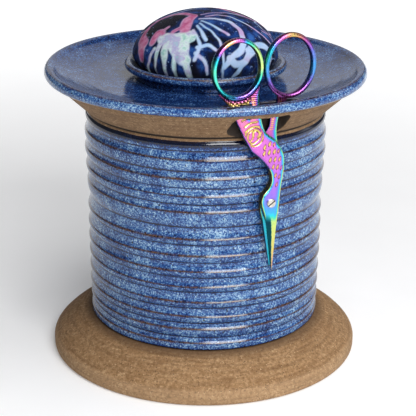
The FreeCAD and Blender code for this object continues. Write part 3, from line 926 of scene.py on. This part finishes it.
radius, azimuth, height = cylindrical(finished)
dome_turn = np.linspace(0, math.pi / 2, 200)
dome_run = np.hypot(np.diff(35 * np.sin(dome_turn)), np.diff(21.6 * np.cos(dome_turn)))
dome_length = np.concatenate([[0], np.cumsum(dome_run)])
polar = np.arctan2(radius / 35, np.maximum(height - 149, 0) / 21.6)
reach = np.interp(polar, dome_turn, dome_length) + np.maximum(149 - height, 0)
cloth_flat = np.stack([reach * np.sin(azimuth), -reach * np.cos(azimuth)], -1)
ripple = np.array([noise.noise(Vector((p[0] * 0.22, p[1] * 0.22, 0))) for p in cloth_flat])
ripple_2 = np.array([noise.noise(Vector((p[0] * 0.22, p[1] * 0.22, 9))) for p in cloth_flat])
true_flat = cloth_flat.copy()
cloth_flat = cloth_flat + 0.6 * np.stack([ripple, ripple_2], -1)
mint, rose = drawn(MINT, 0.35), drawn(ROSE, 0.35)
wax = np.maximum(np.maximum(drawn(WAX, 0.3), mint), rose)
paint(finished, "wax", wax)
paint(finished, "mint", drawn(MINT, 2.0) * (1 - rose))
paint(finished, "rose", drawn(ROSE, 1.6))
# Deeper navy: the dye patches of DEEP, and painted shade on the cushion's lower side below its widest
# point.
paint(finished, "deep_dye_and_shade", np.maximum(drawn(DEEP, 1.5), 0.9 * smoothstep(reach, 44, 51)))
flat_layer = finished.attributes.new("flat", "FLOAT_VECTOR", "POINT")
flat_layer.data.foreach_set("vector", np.column_stack([true_flat, 0 * reach]).astype(np.float32).ravel())
finished.materials.append(batik("batik_cotton"))

# ------------------------------------------------------------------ scissors
CHEST = [(4.1, 26.5), (6.0, 22.4), (6.4, 18.4), (6.0, 13.4), (5.1, 7.6), (4.4, 1.0)]
THROAT = [
    (-4.4, 0.8), (-3.6, 3.8), (-1.5, 6.2), (0.2, 8.9),
    (0.5, 12.0), (-0.6, 15.6), (-4.6, 20.8), (-9.9, 25.6),
]
FRONT_LEG = [
    (-7.2, 57.2), (-6.5, 54.4), (-6.7, 50.5), (-6.6, 45.5),
    (-5.4, 39.4), (-3.9, 35.0), (-1.6, 32.4), (1.5, 30.0),
]
FRONT_TAIL = [
    (-13.9, 32.5), (-17.3, 39.4), (-20.8, 47.5), (-26.6, 53.6),
    (-20.5, 53.2), (-17.0, 50.9), (-10.5, 53.2),
]
REAR_LEG = [(9.6, 51.0), (7.0, 46.2), (4.2, 41.0), (3.2, 36.0), (3.2, 31.0)]
REAR_BACK = [(-12.6, 30.4), (-2.6, 33.0), (-0.6, 36.0), (0.0, 40.6), (3.0, 46.4), (3.4, 51.6)]
TIP = (1.75, -34.1)
LEFT_RING = ((-17.0, 63.8), (12.45, 14.0), (10.3, 11.8))
RIGHT_RING = ((8.95, 63.0), (12.9, 15.0), (10.6, 12.7))
FEATHERS = [
    (-3.7, 27.0), (-1.2, 28.4), (1.2, 28.2), (-3.9, 24.2), (-1.4, 24.4), (1.2, 24.5), (3.4, 24.7),
    (-0.8, 20.7), (1.6, 20.7), (4.0, 20.6), (0.8, 17.3), (2.9, 16.9), (4.9, 16.4),
    (2.0, 13.0), (4.0, 12.2), (2.7, 8.6),
]
SPACING = 0.27


def ellipse(ring, share, step=0.3):
    """Points of a ring's oval between its inside (0) and its outside (1)."""
    (x, y), outer, inner = ring
    across = inner[0] + (outer[0] - inner[0]) * share
    upright = inner[1] + (outer[1] - inner[1]) * share
    count = int(2 * math.pi * upright / step)
    turns = [2 * math.pi * k / count for k in range(count)]
    return [(x + across * math.cos(t), y + upright * math.sin(t)) for t in turns]


def inside(points, polygon):
    """Which of the points lie in a polygon."""
    px, py = points[:, 0], points[:, 1]
    found = np.zeros(len(points), bool)
    for (ax, ay), (bx, by) in zip(polygon, polygon[1:] + polygon[:1]):
        if ay == by:
            continue
        crosses = (ay > py) != (by > py)
        found ^= crosses & (px < (bx - ax) * (py - ay) / (by - ay) + ax)
    return found


def ring_share(points, ring):
    """0 at the inside of a ring's bar, 1 at its outside."""
    (x, y), outer, inner = ring
    spread = []
    for across, upright in (inner, outer):
        spread.append(np.hypot((points[:, 0] - x) / across, (points[:, 1] - y) / upright))
    return (spread[0] - 1) / np.maximum(spread[0] - spread[1], 1e-9)


def near_lines(points, lines):
    """Distance from each point to the nearest of some polylines."""
    best = np.full(len(points), 1e9)
    for line in lines:
        for a, b in zip(np.array(line), np.array(line)[1:]):
            run = b - a
            t = np.clip(((points - a) @ run) / max(run @ run, 1e-9), 0, 1)
            best = np.minimum(best, np.linalg.norm(points - a - t[:, None] * run, axis=1))
    return best


def circle(x, y, r, start=0, end=360):
    turns = np.radians(np.linspace(start, end, max(8, int(abs(end - start) / 12))))
    return [(x + r * math.cos(t), y + r * math.sin(t)) for t in turns]


def plate_mesh(outline, ring, holes):
    """Triangles that fill the body and the ring's bar, with close points."""
    outer, inner = ellipse(ring, 1), ellipse(ring, 0)
    body = finer(outline + outline[:1], SPACING)[:-1]
    loops = [body, outer, inner] + [finer(h + h[:1], SPACING)[:-1] for h in holes]
    verts = []
    edges = []
    for loop in loops:
        first = len(verts)
        verts += loop
        edges += [(first + k, first + (k + 1) % len(loop)) for k in range(len(loop))]
    for share in (0.04, 0.12, 0.24, 0.38, 0.5, 0.62, 0.76, 0.88, 0.96):
        verts += ellipse(ring, share, 0.36)
    low, high = np.min(body, 0), np.max(body, 0)
    xs = np.arange(low[0], high[0], SPACING)
    ys = np.arange(low[1], high[1], SPACING * 0.866)
    grid = np.array([(x + (row % 2) * SPACING / 2, y) for row, y in enumerate(ys) for x in xs])
    keep = inside(grid, body) & ~inside(grid, outer)
    for hole in holes:
        keep &= ~inside(grid, hole)
    grid = grid[keep]
    clear = near_lines(grid, [body + body[:1]] + [h + h[:1] for h in holes])
    grid = grid[clear > SPACING * 0.45]
    verts += [tuple(p) for p in grid]
    result = delaunay_2d_cdt([Vector(v) for v in verts], edges, [], 0, 1e-5)
    flat = np.array([tuple(v) for v in result[0]])
    faces = np.array([f for f in result[2]])
    centre = flat[faces].mean(1)
    solid = (inside(centre, body) | inside(centre, outer)) & ~inside(centre, inner)
    for hole in holes:
        solid &= ~inside(centre, hole)
    return flat, faces[solid]


def rim_edges(faces):
    """Directed edges that only one triangle uses."""
    directed = set()
    for a, b, c in faces:
        directed.update(((a, b), (b, c), (c, a)))
    return [(a, b) for a, b in directed if (b, a) not in directed]


def engraving(points):
    """Depth of the stork's drawn detail: feathers, wing scroll, tail and legs."""
    x, y = points[:, 0], points[:, 1]
    cut = np.zeros(len(points))
    for fx, fy in FEATHERS:
        size = 1.16 - 0.010 * abs(28 - fy)
        dx, dy = x - fx, y - fy
        turn = math.radians(-18)
        across = dx * math.cos(turn) + dy * math.sin(turn)
        up = -dx * math.sin(turn) + dy * math.cos(turn)
        wide = 0.62 * size * (1 - 0.3 * np.clip(up, -1, 1))
        cut = np.maximum(cut, 1 - smoothstep(np.hypot(across / wide, up / (1.3 * size)), 0.62, 1.12))
    wing = [circle(-9.1, 32.6, 4.5), circle(-9.1, 32.6, 3.2, 20, 250), circle(-8.2, 33.6, 1.6, -60, 220)]
    wing += [smooth_line([(-12.8, 30.2), (-10.5, 31.0), (-9.4, 33.4), (-10.2, 35.6)])]
    wing += [smooth_line([(-11.8, 28.6), (-9.0, 29.6), (-6.6, 31.6), (-5.6, 34.4)])]
    wing += [smooth_line([(-13.6, 35.2), (-11.8, 36.4), (-9.6, 37.2), (-6.4, 37.0)])]
    wing += [smooth_line([(-13.9, 37.6), (-11.4, 39.0), (-7.4, 39.4)])]
    wing += [smooth_line([(-15.2, 40.6), (-12.0, 41.6), (-7.8, 41.8)])]
    cut = np.maximum(cut, 1 - smoothstep(near_lines(points, wing), 0.22, 0.56))
    return cut


def hatch(points, angles, pitch, wide):
    """Crossed or single engraved lines at even pitch."""
    cut = np.zeros(len(points))
    for angle in angles:
        turn = math.radians(angle)
        along = points[:, 0] * math.sin(turn) + points[:, 1] * math.cos(turn)
        away = np.abs((along / pitch + 0.5) % 1 - 0.5) * pitch
        cut = np.maximum(cut, 1 - smoothstep(away, wide * 0.35, wide))
    return cut


# Film colour round each ring, by degrees from its right-hand side.
RING_FILM = {
    1: [(0, 0.98), (45, 0.97), (72, 0.80), (84, 0.36), (100, 0.20), (112, 0.02), (126, 0.28),
        (140, 0.46), (152, 0.76), (180, 0.88), (212, 0.84), (238, 0.80), (258, 0.70), (270, 0.54),
        (290, 0.48), (310, 0.62), (328, 0.78), (345, 0.92), (360, 0.98)],
    -1: [(0, 0.67), (30, 0.58), (52, 0.40), (70, 0.18), (88, 0.02), (104, 0.24), (122, 0.46),
         (142, 0.78), (165, 0.74), (195, 0.66), (222, 0.46), (250, 0.36), (285, 0.34),
         (312, 0.48), (335, 0.62), (360, 0.67)],
}

# Film colour from an edge of the body inwards, by distance.
EDGE_FILM = [(0, 1.10), (0.25, 1.0), (0.45, 0.9), (0.75, 0.80), (1.2, 0.68), (1.8, 0.55), (2.8, 0.44)]

# Film colour of the body by height over the pivot.
BODY_FILM = [
    (-9, 0.82), (-5, 0.72), (0, 0.56), (6, 0.50), (12, 0.44), (20, 0.38), (30, 0.32), (42, 0.22),
]


# Film colour of each blade's spine, and of the web between a ring and its leg.
SPINE_FILM = {1: (1.26, 1.12, 1.04, 0.98), -1: (0.7, 0.72, 0.74, 0.8)}
WEB_FILM = 0.30

# Half the gap between the halves, the middle of the ring bars and half their
# thickness at the rim, all from the mid plane, and the least thickness left.
MID_GAP, RING_PLANE, RING_RIM, THINNEST = 0.05, 0.15, 0.14, 0.12


def blade_lines(height, side):
    """Where a blade's ridge and its cutting edge run."""
    if side > 0:
        ridge = np.interp(height, (-34.1, -25, -15, -8, -5), (1.75, 1.35, 1.2, 0.7, -0.6))
        return ridge, np.interp(height, (-34.1, -25, -15, -10.8, -5), (1.7, 0.4, -0.6, -1.2, -2.9))
    ridge = np.interp(height, (-33.6, -8.4), (0.92, -2.2))
    return ridge, np.interp(height, (-33.6, -8.4), (0.95, 1.9))


def scissors_half(name, outline, ring, holes, side, body, node):
    """One half: a forged plate with bevelled edges and a round finger ring.

    Side is 1 for the half in front of the mid plane and -1 for the one behind."""
    flat, faces = plate_mesh(outline, ring, holes)
    border = rim_edges(faces)
    tree = KDTree(len(border))
    for a, _ in border:
        tree.insert((*flat[a], 0), a)
    tree.balance()
    nearest = [tree.find((*p, 0)) for p in flat]
    edge_gap = np.array([found[2] for found in nearest])
    rightward = np.array([found[0][0] for found in nearest]) > flat[:, 0]
    x, y = flat[:, 0], flat[:, 1]
    share = ring_share(flat, ring)
    bar = (share > -0.001) & (share < 1.001)
    round_up = np.sqrt(np.clip(1 - np.abs(2 * share - 1) ** 2.8, 0, 1))
    beyond = (np.maximum(share, 1) - 1) * (ring[1][0] - ring[2][0])
    blade = smoothstep(-5.0 - y, 0, 5)
    thick = 2.1 - 1.25 * np.clip((-6 - y) / 28, 0, 1)
    bevel_width = 1.15 - 0.35 * blade
    bevel = 0.50 * (1 - smoothstep(edge_gap, -0.15, bevel_width)) * (1 - 0.8 * blade)
    cut = engraving(flat)
    if side > 0:
        tail = (y > 44.5) & (x < -11.6)
        legs = (y > 43) & (x > -11.0)
    else:
        tail = (y > 46.5) & (x > 3)
        legs = (y > 34) & (y < 46.5)
    calm = smoothstep(edge_gap, 0.55, 1.0)
    cut = np.where(tail, hatch(flat, (38, -52), 1.25, 0.34) * smoothstep(edge_gap, 0.3, 0.6), cut * calm)
    cut = np.where(legs, hatch(flat, (0,), 0.95, 0.30) * smoothstep(edge_gap, 0.5, 0.8), cut)
    web = (1 - smoothstep(beyond, 0.2, 1.6 if side > 0 else 2.4)) * ~bar * (y > 40)
    cut *= ~bar
    near_ring = 1 - smoothstep(beyond, 0, 3.5)
    face = MID_GAP + thick - bevel - 0.28 * cut - 0.45 * near_ring * (y > 40)
    ridge, cutting = blade_lines(y, side)
    ground = smoothstep((ridge - x) / (ridge - cutting), 0.0, 1.0)
    face = face - blade * ground * (thick - 0.25) * 0.85
    back = np.full(len(flat), MID_GAP)
    bar_face = RING_PLANE + RING_RIM + 1.75 * round_up
    bar_back = RING_PLANE - RING_RIM - 1.5 * round_up
    face = np.where(bar, bar_face, face)
    back = np.where(bar, bar_back, back)
    face = np.maximum(face, back + THINNEST)
    border_points = sorted(set(a for a, _ in border))
    drop = dict(zip(border_points, range(2 * len(flat), 2 * len(flat) + len(border_points))))
    crease = np.column_stack([flat, np.maximum(face - THINNEST, back)])[border_points]
    sheets = np.vstack([np.column_stack([flat, face]), np.column_stack([flat, back]), crease])
    sheets[:, 2] *= side
    shift = len(flat)
    everything = [tuple(f) for f in faces] + [tuple(f[::-1] + shift) for f in faces]
    everything += [(b, a, drop[a], drop[b]) for a, b in border]
    everything += [(drop[b], drop[a], a + shift, b + shift) for a, b in border]
    if side < 0:
        everything = [f[::-1] for f in everything]
    made = new_object(
        name, beside_wall(sheets), everything,
        slot="rainbow_steel", body=body, standing_for=[node],
    )
    made.data.set_sharp_from_angle(angle=math.radians(48))
    film = np.interp(y, *zip(*BODY_FILM))
    far_side = ~rightward & (y > 16)
    gap = np.where(far_side, 1.2 + 3.6 * edge_gap, edge_gap * np.where(rightward, 1.0, 2.0))
    turning = np.interp(gap, *zip(*EDGE_FILM))
    film = np.where(gap < 2.8, turning + (film - 0.44) * smoothstep(gap, 1.0, 2.8), film)
    film_in_cuts = film - np.minimum(0.36, film) * cut
    film = np.where(tail & (side > 0), np.interp(y, (48.5, 54), (0.0, 0.2)), film_in_cuts)
    spine = np.interp(y, (-34, -24, -16, -8), SPINE_FILM[side])
    film = film * (1 - blade) + blade * np.where(ground > 0.08, 0.88 - 0.1 * blade, spine)
    turn = np.degrees(np.arctan2(y - ring[0][1], x - ring[0][0])) % 360
    around = np.interp(turn, *zip(*RING_FILM[side]))
    film = np.where(bar, around + 0.06 * (1 - round_up), film)
    film = film * (1 - web) + WEB_FILM * web
    film = np.clip(film, 0, 1.3)
    # Painted shade: in the engraved cuts, along the ring bar's steep sides, on the blade's ground bevel and
    # the far edge; the back sheet and the side walls are painted darker still.
    rim = np.where(bar, 0.7 * (1 - smoothstep(round_up, 0.15, 0.5)), 0)
    face_shade = np.maximum(np.where(tail, 0.9 * cut, 0.25 * cut + 2.6 * cut * (1 - cut)), rim)
    face_shade = np.maximum(face_shade, 0.9 * blade * (ground > 0.08))
    face_shade = np.maximum(face_shade, 0.8 * far_side * (edge_gap < 0.3))
    behind = np.where(edge_gap < 0.02, 0.9, 0.3)
    paint(made.data, "film", np.concatenate([film, film, film[border_points]]))
    paint(made.data, "painted_shade", np.concatenate([face_shade, behind, np.where(bar[border_points], 0.75, 0.92)]))
    made.data.materials.append(RAINBOW)
    return made


RAINBOW = rainbow_steel("steel_colour_film")
front_right = smooth_line(FRONT_LEG + CHEST + [(4.0, -4.0), (3.3, -9.0), (2.8, -15.0)])
front_left = smooth_line([(-0.6, -15.0), (-1.2, -10.8), (-2.0, -8.0), (-3.0, -4.8), (-3.9, -2.0)] + THROAT)
scissors_half(
    "scissors_front", front_right + [TIP] + front_left + FRONT_TAIL, LEFT_RING,
    [[(-16.6, 47.9), (-10.6, 47.7), (-11.3, 41.6)]], 1, "scissors_front", "scissors_front_half",
)
rear_right = smooth_line(REAR_LEG + CHEST + [(3.6, -3.6), (1.9, -8.4)])
rear_left = smooth_line([(-3.1, -8.4), (-4.3, -4.0)] + THROAT)
scissors_half(
    "scissors_rear", rear_right + [(TIP[0] - 0.8, TIP[1] + 0.5)] + rear_left + REAR_BACK, RIGHT_RING,
    [], -1, "scissors_rear", "scissors_rear_half",
)

# --------------------------------------------- finishes of the kept CAD nodes
for node, material in {
    # A darker copy of the foot's clay: painted shade under the lid.
    "lid_locating_ring": stoneware_clay("clay_ring", 0.9),
    "pincushion_base_card": grey_card("card_grey"),
    "gathering_thread": cotton_thread("thread_cotton"),
    "glue_bead": clear_glue("glue_clear"),
    "pivot_screw": plain_steel("steel_screw"),
}.items():
    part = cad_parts[node]
    part.data.materials.clear()
    part.data.materials.append(material)

# --------------------------------------------------------- stage and lighting
floor_points = [(-6, -4, 0), (6, -4, 0), (6, 9, 0), (-6, 9, 0)]
floor = new_object("floor", np.array(floor_points) / MM, [(0, 1, 2, 3)])
shade = Shader("stage_white")
paper = shade.noise(40, 2)
floor.data.materials.append(shade.finish(
    shade.ramp(paper, [(0.3, (0.80, 0.80, 0.80, 1)), (0.7, (0.82, 0.82, 0.82, 1))]), 0.9,
    Specular_IOR_Level=0.1, Emission_Color=(1, 1, 1, 1),
))
# The floor glows, dim near the object and brighter further out: painted light.
reach = shade.node("VectorMath", {0: shade.place}, operation="LENGTH").outputs["Value"]
shade.feed(shade.surface.inputs["Emission Strength"], shade.stretch(reach, 0.15, 1.0, 0.18, 0.80))


def softbox(name, azimuth, elevation, distance, size, power, tint=(1, 1, 1), target=(0, 0, 0.09)):
    """Rectangular light aimed at the object."""
    light = bpy.data.lights.new(name, "AREA")
    light.shape = "RECTANGLE"
    light.size, light.size_y = size
    light.energy = power
    light.color = tint
    made = bpy.data.objects.new(name, light)
    bpy.context.scene.collection.objects.link(made)
    a, e = math.radians(azimuth), math.radians(elevation)
    away = Vector((math.sin(a) * math.cos(e), -math.cos(a) * math.cos(e), math.sin(e)))
    made.location = Vector(target) + away * distance
    made.rotation_euler = away.to_track_quat("Z", "Y").to_euler()


softbox("key", 22, 30, 1.1, (0.72, 0.46), 12)
softbox("back", 184, 24, 1.6, (1.6, 1.0), 3.0, (0.95, 0.96, 1.0), (0, 0, 0.14))
softbox("right", 112, 30, 1.4, (0.5, 0.9), 1.7, (0.97, 0.97, 1.0))
softbox("top", 50, 66, 2.2, (1.4, 1.4), 21)

world = bpy.data.worlds.new("studio")
bpy.context.scene.world = world
world.use_nodes = True
world.node_tree.nodes["Background"].inputs["Color"].default_value = (0.92, 0.94, 1.0, 1)
world.node_tree.nodes["Background"].inputs["Strength"].default_value = 0.12

# -------------------------------------------------------------------- camera
lens = bpy.data.cameras.new("camera")
camera = bpy.data.objects.new("camera", lens)
bpy.context.scene.collection.objects.link(camera)
pitch, yaw, roll = 0.3542, 0.0025, 0.0074
forward = Vector((math.sin(yaw) * math.cos(pitch), math.cos(yaw) * math.cos(pitch), -math.sin(pitch)))
level = forward.cross(Vector((0, 0, 1))).normalized()
upward = level.cross(forward)
right = level * math.cos(roll) + upward * math.sin(roll)
upward = right.cross(forward)
camera.matrix_world = Matrix((
    (right.x, upward.x, -forward.x, 0.0),
    (right.y, upward.y, -forward.y, -0.6475),
    (right.z, upward.z, -forward.z, 0.3098),
    (0, 0, 0, 1),
))
lens.lens = 119.6
lens.sensor_width = 36
lens.clip_start = 0.01
lens.clip_end = 50
bpy.context.scene.camera = camera
bpy.context.scene.view_settings.view_transform = "Standard"
